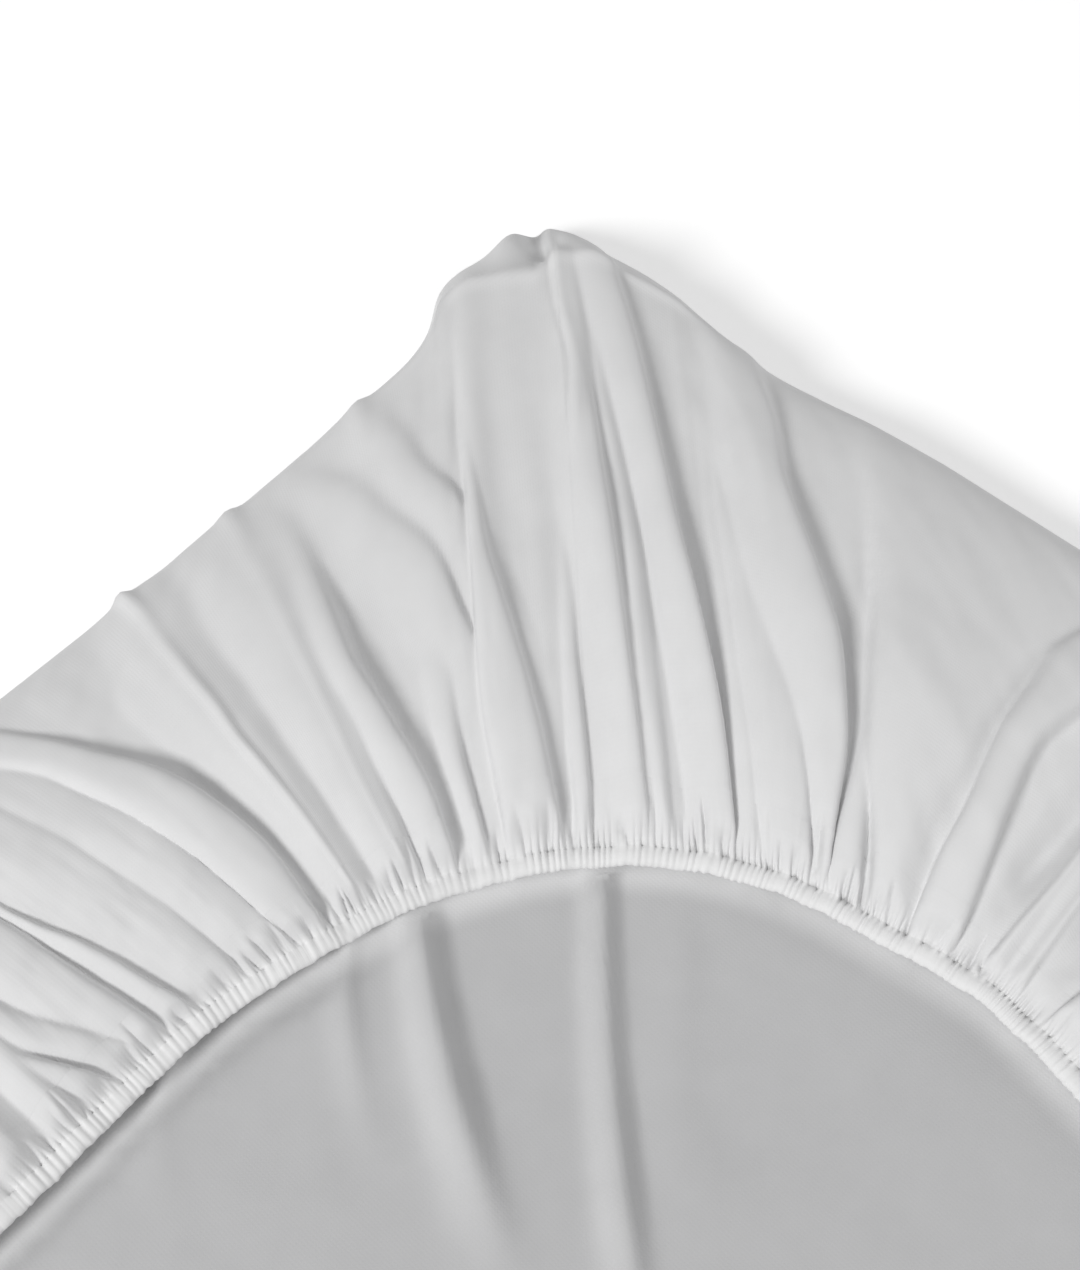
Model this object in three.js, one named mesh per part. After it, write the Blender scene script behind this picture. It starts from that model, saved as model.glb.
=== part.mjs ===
// A fitted mattress protector for a single bed, lying empty with its top panel
// down: the skirt turns up at the edge of the panel, lies inward over it in
// folds, and is gathered along an elastic hem.
// Millimetres, +Z up. X runs along the bed and Y across it. The origin is under
// the middle of the protector, on the surface that it lies on.
import * as THREE from 'three';
import { mergeVertices } from 'three/addons/utils/BufferGeometryUtils.js';

// ---- Driving sizes ---------------------------------------------------------
const LENGTH = 2000;           // the top panel, along the bed
const WIDTH = 900;             // the top panel, across the bed
const THICK = 2;               // the cloth
const REACH = 205;             // from the outer edge in to the hem, seen from above
const HEM_RADIUS = 220;        // the arc that the elastic pulls round each corner
const EDGE_RISE = 9;           // how high the outermost point of the turn lies
const CROWN = 38;              // how high the skirt stands over its turn, along the sides
const CORNER_CROWN = 10;       // and how much higher round a corner
const CORNER_SPREAD = 90;      // half the length of hem over which it is higher
const HEM_HEIGHT = 10;         // the middle of the elastic above the surface, round a corner
const SIDE_LIFT = 7;           // how much higher it lies along a long side
const BAND = 9;                // the elastic hem, across
const BAND_THICK = 4;
const BAND_TILT = 0.25;        // how far it leans in and down, in radians
const GAP = 0.32;              // between the cloth's edge and the elastic
const SOFT_CORNER = 9;         // how far the outline's corner is rounded

const HALF_LENGTH = LENGTH / 2;
const HALF_WIDTH = WIDTH / 2;
const ARC = HEM_RADIUS * Math.PI / 4;            // half the hem's arc, along the hem
const ARC_X = HALF_LENGTH - REACH - HEM_RADIUS;  // the arc's centre
const ARC_Y = HALF_WIDTH - REACH - HEM_RADIUS;
const LONG_END = ARC + ARC_X;                    // the hem at the middle of a long side
const SHORT_END = -ARC - ARC_Y;                  // the hem at the middle of a short side

// ---- Where the cloth runs from the outer edge to the hem -------------------
// hem: along the hem from the middle of a corner's arc, + to the long side.
// edge: along the outer edge from the corner, + along the long side.
const RUNS = [
  { hem: SHORT_END, edge: -HALF_WIDTH },
  { hem: -ARC, edge: -405 },
  { hem: -144, edge: -335 },
  { hem: -116, edge: -215 },
  { hem: -86, edge: -125 },
  { hem: -35, edge: -43 },
  { hem: 0, edge: 0 },
  { hem: 46, edge: 105 },
  { hem: 81, edge: 264 },
  { hem: 104, edge: 326 },
  { hem: 134, edge: 396 },
  { hem: ARC, edge: 450 },
  { hem: LONG_END, edge: HALF_LENGTH },
];

// How far the slack outer edge strays outward, by the distance from the corner
// along its long and its short sides.
const STRAYS = [
  { at: 0, long: 14, short: 14 },
  { at: 30, long: 17, short: 17 },
  { at: 50, long: 19, short: 18 },
  { at: 68, long: 15, short: 19 },
  { at: 92, long: -1, short: 18 },
  { at: 118, long: -7, short: 9 },
  { at: 165, long: -8, short: 12 },
  { at: 260, long: -9, short: 22 },
  { at: 320, long: -8, short: 24 },
  { at: 400, long: -6, short: 26 },
  { at: 600, long: -1, short: 27 },
  { at: 1000, long: 0, short: 27 },
];

// How far the elastic is drawn in from its arc, by the place along it.
const DRAWN = [
  { hem: SHORT_END, inset: 0 },
  { hem: -190, inset: 0 },
  { hem: -150, inset: 8 },
  { hem: -50, inset: 5 },
  { hem: 45, inset: 10 },
  { hem: 85, inset: 10 },
  { hem: 125, inset: 13 },
  { hem: 155, inset: 10 },
  { hem: 185, inset: 3 },
  { hem: LONG_END, inset: 4 },
];

// The folds round a corner, a row for each, from the short side to the long one.
// at10, at35, at60, at100: the crest along the hem, at 10 % and so on of the way in.
// foot: from the crest to the valley on its steep side.
// high10, high35, high60, high90: the crest's height over the valley.
const FOLDS = [
  { name: 'G', at10: -208, at35: -198, at60: -190, at100: -187, foot: -8, high10: 1, high35: 4, high60: 8, high90: 9 },
  { name: 'F', at10: -178, at35: -166, at60: -159, at100: -164, foot: -8, high10: 2, high35: 9, high60: 14, high90: 12 },
  { name: 'E', at10: -118, at35: -122, at60: -124, at100: -137, foot: 5, high10: 2, high35: 6, high60: 12, high90: 10 },
  { name: 'D', at10: -87, at35: -89, at60: -102, at100: -109, foot: -6, high10: 4, high35: 12, high60: 16, high90: 12 },
  { name: 'D1', at10: -75, at35: -75, at60: -80, at100: -94, foot: -6, high10: 1, high35: 2, high60: 5, high90: 10 },
  { name: 'C', at10: -22, at35: -35, at60: -46, at100: -64, foot: -6, high10: 4, high35: 10, high60: 14, high90: 11 },
  { name: 'B', at10: -7, at35: -10, at60: -16, at100: -27, foot: -4, high10: 2, high35: 8, high60: 14, high90: 10 },
  { name: 'A', at10: 26, at35: 28, at60: 29, at100: 18, foot: -5, high10: 1, high35: 3, high60: 12, high90: 12 },
  { name: 'K1', at10: 57, at35: 49, at60: 27, at100: 14, foot: -4, high10: 2, high35: 6, high60: 4, high90: 1 },
  { name: 'K2', at10: 70, at35: 59, at60: 46, at100: 29, foot: -4, high10: 1, high35: 5, high60: 6, high90: 2 },
  { name: 'L1', at10: 82, at35: 80, at60: 81, at100: 79, foot: -6, high10: 3, high35: 8, high60: 10, high90: 9 },
  { name: 'L1b', at10: 75, at35: 74, at60: 74, at100: 62, foot: -4, high10: 1, high35: 6, high60: 13, high90: 11 },
  { name: 'L2', at10: 103, at35: 106, at60: 107, at100: 105, foot: -8, high10: 4, high35: 8, high60: 10, high90: 8 },
  { name: 'L3', at10: 162, at35: 146, at60: 134, at100: 130, foot: -8, high10: 2, high35: 9, high60: 14, high90: 10 },
  { name: 'L4', at10: 180, at35: 164, at60: 155, at100: 150, foot: -5, high10: 1, high35: 6, high60: 10, high90: 8 },
  { name: 'L4b', at10: 214, at35: 197, at60: 187, at100: 172, foot: 9, high10: 2, high35: 8, high60: 12, high90: 10 },
  { name: 'L5b', at10: 252, at35: 245, at60: 235, at100: 211, foot: 10, high10: 2, high35: 6, high60: 9, high90: 8 },
  { name: 'L6', at10: 274, at35: 266, at60: 254, at100: 220, foot: -4, high10: 1, high35: 3, high60: 6, high90: 7 },
  { name: 'L7', at10: 291, at35: 283, at60: 269, at100: 235, foot: -5, high10: 1, high35: 3, high60: 6, high90: 7 },
];
// Past those, the folds of a long side follow each other evenly to its middle.
const SIDE_START = 268;
const SIDE_STEP = 60;
const SIDE_FOLDS = 8;
const SIDE_DRIFT = 9;          // how far each strays from its even place
const SIDE_HIGH = 10;
const SIDE_FOOT = -11;

// The four corners, each with its own turn of the same folds.
const CORNERS = [
  { x: 1, y: 1, stretch: 0, lift: 1 },
  { x: -1, y: 1, stretch: 4, lift: 0.85 },
  { x: -1, y: -1, stretch: -4, lift: 0.95 },
  { x: 1, y: -1, stretch: 3, lift: 0.8 },
];

// How far in the rows of the skirt's grid lie, from the outer edge to the hem.
const ROWS = [0, 0.05, 0.14, 0.34, 0.6, 0.8, 0.92, 1];

// ---- Shape functions -------------------------------------------------------
const mix = (a, b, f) => a + (b - a) * f;
const bell = (x, spread) => Math.exp(-((x / spread) ** 2));

// A value read off a list of rows between the two that hold it.
function between(rows, key, value, at) {
  let i = 1;
  while (i < rows.length - 1 && rows[i][key] < at) i += 1;
  const a = rows[i - 1];
  const b = rows[i];
  return mix(a[value], b[value], (at - a[key]) / (b[key] - a[key]));
}

// The outer edge in the quarter where x and y are positive. Each side turns into
// the other along a hyperbola, and strays outward as its table says.
function edgePoint(edge) {
  const soft = (p) => (p + Math.hypot(p, SOFT_CORNER)) / 2;
  const stray = between(STRAYS, 'at', edge < 0 ? 'short' : 'long', Math.abs(edge));
  const side = (1 + Math.tanh(edge / SOFT_CORNER)) / 2;
  const near = bell(edge, 30);
  return new THREE.Vector2(
    HALF_LENGTH - soft(edge) + stray * mix(1, near, side),
    HALF_WIDTH - soft(-edge) + stray * mix(near, 1, side),
  );
}

// The hem in the same quarter: an arc with a straight run at each end, drawn in
// as its table says and by 'inset'.
function hemPoint(hem, inset = 0) {
  const turn = THREE.MathUtils.clamp(hem, -ARC, ARC) / HEM_RADIUS + Math.PI / 4;
  const radius = HEM_RADIUS - inset - between(DRAWN, 'hem', 'inset', hem);
  return new THREE.Vector2(
    ARC_X + radius * Math.cos(turn) - Math.max(hem - ARC, 0),
    ARC_Y + radius * Math.sin(turn) - Math.max(-ARC - hem, 0),
  );
}

// The elastic's height over the surface.
function hemLevel(hem) {
  const way = THREE.MathUtils.smoothstep(hem, 40, 140);
  return HEM_HEIGHT + SIDE_LIFT * way;
}

// A fold's value part of the way in, through its columns at the given percentages.
function along(fold, column, percents, way) {
  const rows = percents.map((p) => ({ way: p / 100, value: fold[`${column}${p}`] }));
  return between(rows, 'way', 'value', way);
}

// Every fold of one corner with the side folds that follow it.
function foldsOf(corner) {
  const side = Array.from({ length: SIDE_FOLDS }, (_, i) => {
    const at = SIDE_START + i * SIDE_STEP + SIDE_DRIFT * Math.sin(2.1 * i);
    const high = SIDE_HIGH * (1 + 0.5 * Math.sin(2.4 * i));
    const across = { at10: at + 7, at35: at + 5, at60: at + 3, at100: at, foot: SIDE_FOOT };
    return { ...across, high10: 0.2 * high, high35: 0.6 * high, high60: high, high90: 0.8 * high };
  });
  return [...FOLDS, ...side].map((fold, i) => (
    { ...fold, wave: Math.sin(0.9 * i) * corner.stretch, lift: corner.lift }
  ));
}

// The crests and valleys across a corner's quarter, part of the way in: each has
// its place along the hem and its height over the plain skirt.
function stations(folds, way) {
  const found = [{ hem: SHORT_END, high: 0 }, { hem: LONG_END, high: 0 }];
  const fade = Math.min(1, way / 0.08);
  for (const fold of folds) {
    const hem = along(fold, 'at', [10, 35, 60, 100], way) + fold.wave;
    const high = along(fold, 'high', [10, 35, 60, 90], Math.min(way, 0.9));
    const near = way > 0.9 ? mix(1, 0.3, (way - 0.9) / 0.1) : 1;
    found.push({ hem, high: Math.max(high, 0.5) * fold.lift * fade * near });
    found.push({ hem: hem + fold.foot, high: 0 });
  }
  return found.sort((a, b) => a.hem - b.hem);
}

// The skirt's middle surface in the positive quarter: straight in from the outer
// edge to the hem, rising steeply from the turn, level, and rounded down to the hem.
function skirtPoint(hem, high, way) {
  const from = edgePoint(between(RUNS, 'hem', 'edge', hem));
  const to = hemPoint(hem, -BAND - GAP);
  const crown = CROWN + CORNER_CROWN * bell(hem, CORNER_SPREAD);
  const steep = 1 - Math.exp(-way / 0.075);
  const slow = Math.min(1, (way / 0.16) ** 0.8);
  const rise = mix(steep, slow, bell(hem, 75)) * (1 - way ** 4.2) ** 0.9;
  const out = 0.3 * high * (1 - way) ** 6;
  const place = from.clone().lerp(to, way).add(from.clone().sub(to).setLength(out));
  return new THREE.Vector3(place.x, place.y, mix(EDGE_RISE, hemLevel(hem), way) + crown * rise + high);
}

// ---- The cloth -------------------------------------------------------------
// One column of the cloth's middle surface: the panel's edge, its turn and the skirt.
function column(skirt, corner) {
  const rim = skirt[0];
  const next = skirt[1].clone().sub(rim).setZ(0).setLength(EDGE_RISE);
  const flat = rim.clone().add(next).setZ(THICK / 2);
  return [flat, ...skirt].map((p) => new THREE.Vector3(p.x * corner.x, p.y * corner.y, p.z));
}

// Something worked out for each quarter and joined once round: the quarters' runs
// are turned so that they follow on, and each starts where the last one ends.
function onceRound(quarterOf) {
  return CORNERS.flatMap((corner) => {
    const quarter = quarterOf(corner);
    if (corner.x * corner.y < 0) quarter.reverse();
    return quarter.slice(0, -1);
  });
}

function clothColumns(corner) {
  const folds = foldsOf(corner);
  const rows = ROWS.map((way) => stations(folds, way));
  return rows[0].map((_, i) => (
    column(rows.map((row, r) => skirtPoint(row[i].hem, row[i].high, ROWS[r])), corner)
  ));
}

// Triangles that fill a ring of points, facing down. The ring's far side (+Y) and
// near side run from end to end along X, and are zipped together between them.
function zip(ring) {
  const order = ring.map((_, c) => c).sort((a, b) => ring[a].x - ring[b].x);
  const [first, last] = [order[0], order[order.length - 1]];
  const run = (step) => {
    const found = [];
    for (let c = first; c !== last; c = (c + step + ring.length) % ring.length) found.push(c);
    return [...found, last];
  };
  const far = run(-1);
  const near = run(1);
  const faces = [];
  let [f, n] = [0, 0];
  while (f < far.length - 1 || n < near.length - 1) {
    const byFar = n === near.length - 1 || (f < far.length - 1 && ring[far[f + 1]].x < ring[near[n + 1]].x);
    if (byFar) faces.push(far[f], far[f + 1], near[n]);
    else faces.push(far[f], near[n + 1], near[n]);
    if (byFar) f += 1; else n += 1;
  }
  return faces.filter((_, i) => {
    const t = i - (i % 3);
    return new Set(faces.slice(t, t + 3)).size === 3;
  });
}

// A closed skin round a grid of columns that follow each other in a ring: both
// faces lie half a thickness off the middle, the panel is filled in between the
// columns' first points, and the free edge is shut.
function clothGeometry(columns) {
  const rows = columns[0].length;
  const count = columns.length;
  const at = (c, r) => (c % count) * rows + r;
  const middle = columns.flat();
  const faces = [];
  for (let c = 0; c < count; c += 1) {
    for (let r = 0; r < rows - 1; r += 1) {
      faces.push(at(c, r), at(c + 1, r), at(c, r + 1), at(c + 1, r), at(c + 1, r + 1), at(c, r + 1));
    }
  }
  const sheet = new THREE.BufferGeometry();
  sheet.setAttribute('position', new THREE.Float32BufferAttribute(middle.flatMap((p) => p.toArray()), 3));
  sheet.setIndex(faces);
  sheet.computeVertexNormals();
  const normals = sheet.getAttribute('normal');
  const upright = { 0: new THREE.Vector3(0, 0, -1), [rows - 1]: new THREE.Vector3(0, 0, 1) };
  const skin = (side) => middle.flatMap((p, i) => {
    const n = upright[i % rows] ?? new THREE.Vector3().fromBufferAttribute(normals, i);
    return p.clone().addScaledVector(n, side * THICK).toArray();
  });
  faces.push(...zip(columns.map(([flat]) => flat)).map((c) => at(c, 0)));
  const inner = middle.length;
  const turned = [];
  for (let f = 0; f < faces.length; f += 3) {
    turned.push(faces[f + 1] + inner, faces[f] + inner, faces[f + 2] + inner);
  }
  const shut = [];
  for (let c = 0; c < count; c += 1) {
    const a = at(c, rows - 1);
    const b = at(c + 1, rows - 1);
    shut.push(a, b, a + inner, b, b + inner, a + inner);
  }
  return closed([...skin(0.5), ...skin(-0.5)], [...faces, ...turned, ...shut]);
}

// Merges the points that lie together and drops the faces that this closes up.
function closed(points, faces) {
  const loose = new THREE.BufferGeometry();
  loose.setAttribute('position', new THREE.Float32BufferAttribute(points, 3));
  loose.setIndex(faces);
  const merged = mergeVertices(loose, 1e-3);
  const index = merged.getIndex().array;
  const kept = [];
  for (let f = 0; f < index.length; f += 3) {
    const [a, b, c] = [index[f], index[f + 1], index[f + 2]];
    if (a !== b && b !== c && a !== c) kept.push(a, b, c);
  }
  merged.setIndex(kept);
  merged.computeVertexNormals();
  return merged;
}

// ---- The elastic hem -------------------------------------------------------
// A flat band carried once round inside the cloth's edge, a little tilted, as it
// hangs from the skirt. Its corners lie opposite the folds' at the cloth's edge.
function bandColumns(corner) {
  const section = [[0, -0.5], [1, -0.5], [1, 0.5], [0, 0.5]].map(([across, up]) => ({
    inset: across * BAND * Math.cos(BAND_TILT) - BAND,
    z: up * BAND_THICK - across * BAND * Math.sin(BAND_TILT),
  }));
  return stations(foldsOf(corner), 1).map(({ hem }) => section.map(({ inset, z }) => {
    const p = hemPoint(hem, inset);
    return new THREE.Vector3(p.x * corner.x, p.y * corner.y, hemLevel(hem) + z);
  }));
}

function bandGeometry(columns) {
  const sides = columns[0].length;
  const at = (c, s) => (c % columns.length) * sides + (s % sides);
  const faces = [];
  columns.forEach((_, c) => {
    for (let s = 0; s < sides; s += 1) {
      faces.push(at(c, s), at(c, s + 1), at(c + 1, s), at(c + 1, s), at(c, s + 1), at(c + 1, s + 1));
    }
  });
  return closed(columns.flat().flatMap((p) => p.toArray()), faces);
}

// ---- The protector ---------------------------------------------------------
function named(name, geometry, colour, roughness) {
  const material = new THREE.MeshStandardMaterial({ color: colour, roughness, metalness: 0 });
  const mesh = new THREE.Mesh(geometry, material);
  mesh.name = name;
  return mesh;
}

const protector = new THREE.Group();
protector.add(named('cloth', clothGeometry(onceRound(clothColumns)), 0xe9e9e8, 0.9));
protector.add(named('elastic_hem', bandGeometry(onceRound(bandColumns)), 0xf4f4f2, 0.8));

export default protector;
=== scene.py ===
"""A white fitted mattress protector lying empty, its top panel down, its skirt
folded inward and gathered along an elastic hem. Metres, +Z up."""
import math
from collections import namedtuple

import bpy
import numpy as np
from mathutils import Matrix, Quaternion, Vector, geometry


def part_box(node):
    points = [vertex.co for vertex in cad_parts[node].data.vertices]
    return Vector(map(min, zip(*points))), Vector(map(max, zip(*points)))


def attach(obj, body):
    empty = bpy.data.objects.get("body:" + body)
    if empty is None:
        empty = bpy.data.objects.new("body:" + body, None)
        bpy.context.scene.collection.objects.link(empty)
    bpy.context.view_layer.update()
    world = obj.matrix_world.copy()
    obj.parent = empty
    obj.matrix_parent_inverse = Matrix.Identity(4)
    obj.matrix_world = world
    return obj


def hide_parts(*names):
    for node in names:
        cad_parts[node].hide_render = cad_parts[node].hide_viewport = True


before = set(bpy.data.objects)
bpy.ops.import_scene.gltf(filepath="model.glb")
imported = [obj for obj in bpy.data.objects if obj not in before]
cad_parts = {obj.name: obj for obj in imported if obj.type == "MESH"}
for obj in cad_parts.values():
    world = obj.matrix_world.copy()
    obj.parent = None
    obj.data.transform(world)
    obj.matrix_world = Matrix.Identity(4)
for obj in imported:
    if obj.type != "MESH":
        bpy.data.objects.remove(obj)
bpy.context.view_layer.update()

MM = 0.001

# ---- Sizes, as the solids have them -----------------------------------------
HEM_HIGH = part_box("elastic_hem")[1]     # the far corner of the elastic's box
BAND = 9 * MM                       # the elastic edge, across
REACH = 205 * MM                    # from the outer edge in to the hem
HEM_RADIUS = 220 * MM               # the hem's arc round a corner
HALF_LENGTH = HEM_HIGH[0] - BAND + REACH
HALF_WIDTH = HEM_HIGH[1] - BAND + REACH
ARC = HEM_RADIUS * math.pi / 4      # half the arc, along the hem
ARC_X = HALF_LENGTH - REACH - HEM_RADIUS
ARC_Y = HALF_WIDTH - REACH - HEM_RADIUS
LONG_END = ARC + ARC_X              # the hem at the middle of a long side
SHORT_END = -ARC - ARC_Y            # the hem at the middle of a short side
EDGE_RISE = 9 * MM                  # the height of the outermost point of the turn
UNDER = 0.6 * MM                    # the cloth's middle over the surface it lies on
CROWN = 38 * MM                     # how high the skirt stands over its turn
CORNER_CROWN = 10 * MM              # and how much higher round a corner
CORNER_SPREAD = 90 * MM
HEM_HEIGHT = 10 * MM                # the elastic over the surface, round a corner
SIDE_LIFT = 7 * MM                  # and how much higher along a long side
LIFT_FROM, LIFT_OVER = 0.04, 0.10   # where along the hem that begins, and over what length
SOFT_CORNER = 9 * MM                # how far the outline's corner is rounded
BOTH_WAYS = 0.03                    # how near the corner the outline strays both ways
# How far the slack outer edge strays outward, by the distance from the corner, in mm.
LONG_AT = (0, 25, 50, 68, 92, 115, 150, 250, 380, 600, 1000)
LONG_OUT = (14, 17, 23, 20, 1, -6, -8, -9, -6, -1, 0)
SHORT_AT = (0, 30, 60, 90, 118, 165, 205, 260, 320, 400, 450)
SHORT_OUT = (14, 18, 20, 18, 8, 11, 17, 22, 24, 26, 27)

# How far the elastic is drawn in from its arc, by the place along it, in mm.
DRAWN_AT = (-270, -230, -190, -150, -100, -50, 0, 45, 85, 125, 155, 185, 230, 300)
DRAWN_IN = (0, -1, -1, 7, 5, 4, 6, 9, 9, 12, 9, 2, 2, 4)

# Where the cloth runs: a place along the hem from the middle of a corner's arc
# (+ to the long side), and the place on the outer edge, from the corner, in mm.
RUN_HEM = (SHORT_END / MM, -ARC / MM, -144, -116, -86, -35, 0, 46, 81, 104, 134,
           ARC / MM, LONG_END / MM)
RUN_EDGE = (-HALF_WIDTH / MM, -405, -335, -215, -125, -43, 0, 105, 264, 326, 396,
            450, HALF_LENGTH / MM)

# The folds round a corner, from the short side to the long one. A fold lies between
# two feet, "low" and "high", which are places along the hem in mm at WAYS of the way
# in from the outer edge. "tall" is its height in mm at TALL_WAYS. "crisp" says of each
# foot whether the cloth stands up from it sharply (1) or swells from it softly (0).
# The names only tell the folds apart.
WAYS = (0.1, 0.35, 0.6, 0.8, 1.0)
TALL_WAYS = (0.1, 0.35, 0.6, 0.9)
Fold = namedtuple("Fold", "name low high tall crisp")
FOLDS = [
    Fold("G", (-215, -207, -203, -200, -199), (-200, -192, -189, -189, -184), (1, 5, 9, 11), (1, .6)),
    Fold("F", (-186, -172, -160, -165, -172), (-167, -154, -150, -151, -151), (3, 14, 22, 18), (1, 1)),
    Fold("E", (-146, -153, -155, -154, -153), (-112, -116, -118, -120, -134), (3, 12, 21, 17), (.15, 1)),
    Fold("E2", (-125, -125, -125, -123, -127), (-117, -117, -117, -117, -109), (0, 0, 3, 12), (.5, .5)),
    Fold("D", (-93, -96, -110, -114, -111), (-62, -62, -68, -88, -103), (10, 17, 22, 16), (1, 0)),
    Fold("D1", (-80, -80, -88, -101, -105), (-66, -66, -70, -75, -82), (0, 2, 7, 14), (1, .5)),
    Fold("D0", (-79, -79, -79, -79, -81), (-72, -72, -72, -73, -74), (0, 0, 0, 7), (.5, .5)),
    Fold("CD", (-80, -80, -84, -88, -90), (-60, -60, -60, -62, -64), (0, 0, 3, 7), (0, 0)),
    Fold("C", (-29, -41, -51, -65, -70), (-1, -22, -34, -42, -50), (7, 14, 19, 15), (1, .3)),
    Fold("BC", (-30, -24, -34, -37, -42), (-20, -13, -20, -24, -33), (0, 5, 8, 9), (.3, .3)),
    Fold("BV", (-32, -30, -37, -42, -46), (4, 10, 4, -2, -10), (2, 7, 10, 9), (0, 0)),
    Fold("B0", (-14, -17, -21, -25, -31), (-2, -8, -5, -5, -13), (5, 11, 5, 0), (.6, 1)),
    Fold("B", (-9, -16, -21, -25, -31), (-1, 8, 2, -6, -13), (3, 11, 19, 14), (1, .1)),
    Fold("AB", (-6, -6, -6, -3, -6), (2, 2, 2, 3, 2), (0, 0, 0, 7), (.5, .5)),
    Fold("A0", (15, 16, 16, 15, 12), (24, 28, 33, 36, 33), (1, 7, 8, 0), (0, .7)),
    Fold("A", (25, 27, 25, 16, 8), (26, 29, 34, 38, 33), (0, 4, 16, 16), (1, 1)),
    Fold("K1", (55, 46, 22, 10, 10), (64, 60, 48, 40, 30), (4, 8, 5, 0), (.5, 0)),
    Fold("K2", (68, 56, 42, 30, 25), (76, 72, 63, 52, 44), (1, 7, 8, 3), (1, 0)),
    Fold("K3", (48, 48, 48, 49, 42), (56, 56, 56, 57, 51), (0, 0, 1, 8), (.7, .3)),
    Fold("L1", (77, 73, 73, 75, 73), (98, 104, 105, 104, 98), (4, 10, 13, 12), (.6, 0)),
    Fold("L1b", (74, 71, 71, 64, 57), (79, 80, 81, 79, 73), (1, 8, 17, 15), (1, .3)),
    Fold("L1c", (79, 77, 78, 79, 76), (86, 84, 85, 86, 83), (6, 13, 16, 14), (.3, 0)),
    Fold("L2", (92, 90, 90, 90, 90), (112, 122, 121, 117, 117), (5, 10, 13, 11), (.2, .2)),
    Fold("L2c", (100, 102, 103, 101, 101), (106, 109, 110, 109, 108), (7, 14, 17, 14), (.3, 0)),
    Fold("L3", (155, 138, 124, 119, 122), (172, 156, 147, 143, 141), (2, 12, 18, 14), (1, .8)),
    Fold("L4", (170, 152, 143, 139, 138), (215, 200, 190, 184, 172), (1, 8, 14, 12), (.8, .1)),
    Fold("L4b", (180, 168, 162, 161, 162), (234, 220, 212, 204, 188), (2, 9, 13, 12), (.7, .2)),
    Fold("L5", (225, 212, 206, 196, 188), (230, 218, 212, 206, 200), (0, 3, 8, 10), (1, .3)),
    Fold("L5b", (228, 218, 211, 208, 202), (270, 262, 252, 242, 220), (2, 8, 12, 10), (.7, .2)),
    Fold("L6", (262, 254, 243, 234, 211), (282, 272, 262, 252, 228), (1, 4, 8, 9), (.5, .5)),
    Fold("L7", (286, 278, 264, 254, 230), (300, 290, 276, 266, 244), (1, 4, 8, 9), (.8, .4)),
]
# The narrow slits that part a fold's toes at the hem: the place along the hem and the
# place where the slit starts, in mm, and how far in it begins.
Slit = namedtuple("Slit", "place start begin")
SLITS = [Slit(*row) for row in (
    (-186, -184, 0.97), (-164, -166, 0.96), (-142, -138, 0.95), (-137, -134, 0.965),
    (-129, -127, 0.945), (-123, -122, 0.96), (-119, -120, 0.97),
    (-107, -107, 0.985), (-91, -90, 0.97), (-57, -54, 0.93), (-64, -63, 0.98),
    (-22, -18, 0.975), (14, 16, 0.955), (24, 28, 0.95), (65, 68, 0.95), (83, 84, 0.96),
    (111, 108, 0.95), (130, 129, 0.97), (136, 139, 0.93), (150, 152, 0.94),
    (156, 158, 0.96), (170, 173, 0.96), (194, 196, 0.97),
)]
SLIT_DEEP = 5.0                     # how deep these slits are at the hem, in mm
# The other toes: the steps from one slit to the next and the least between two slits,
# in mm, how far in they begin, and how deep they are in mm.
TOE_STEPS = (5, 7.5, 10.5, 14)
TOE_APART = 3.2
TOE_BEGIN = (0.915, 0.972)
TOE_DEEP = (1.8, 4.6)
TOE_RUN = 0.1                       # the last of the way, over which a slit's run is given
TOE_FULL = 0.98                     # how far in the slits are at their deepest
# Hollows between folds: the place along the hem and where each starts, in mm, the
# spread and the depth in mm, and how far in it begins, is full, starts to rise and ends.
Hollow = namedtuple("Hollow", "place start spread deep begin grown rise end")
HOLLOWS = [Hollow(-176, -188, 7, 13, 0.3, 0.65, 0.72, 0.96)]
# Where the outline pokes out at a fold's start: the place along the hem and how far.
EAR_WIDE = 1.7                      # and over what width, in mm
Ear = namedtuple("Ear", "place out")
EARS = [Ear(57.5, 2.5), Ear(80, 2.5), Ear(103.8, 3.5)]
# Soft unevenness: hills "tall" mm high and "wide" mm wide, counted along the hem or, if
# "fans", along lines that fan out to the edge; "rows" of them on the way in, "slant"
# of one sideways per way; and "grow" and "late", how they grow from the edge.
Hills = namedtuple("Hills", "tall wide fans rows slant grow late")
UNEVEN = [
    Hills(1.10, 13.0, False, 2.2, 0, 6, 0),
    Hills(0.70, 26.0, True, 9, 0, 6, 0),
    Hills(0.35, 11.0, True, 14, 2, 6, 0),
    Hills(0.30, 4.5, False, 5, 1.5, 6, 0),
    Hills(0.14, 2.2, False, 18, 0, 3, 1.2),
]
# The other folds of a long side, which follow each other to its middle: where they begin
# and the ranges of their widths, of their drift along the hem and of the gaps between
# them, in mm. Then the ranges of how far they widen outward, of their height by their
# width, of the share of it that they have near the edge and of how crisp they are.
SIDE_START = 246
SIDE_WIDTH, SIDE_DRIFT, SIDE_GAP = (14, 32), (-14, 14), (-2, 4)
SIDE_SWELL, SIDE_TALL, SIDE_REACH, SIDE_CRISP = (0.8, 1.6), (0.7, 1.2), (0.1, 0.6), (0.1, 1)
# Before the middle of a short and of a long side, in mm, the folds die out.
LAST_SHORT, LAST_LONG = 7, 16
# The four corners: which way each lies, how its folds stray in mm and how high they are.
Corner = namedtuple("Corner", "x y stray lift")
CORNERS = [Corner(1, 1, 0, 1.0), Corner(-1, 1, 4, 0.85), Corner(-1, -1, -4, 0.95),
           Corner(1, -1, 3, 0.85)]

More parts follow.
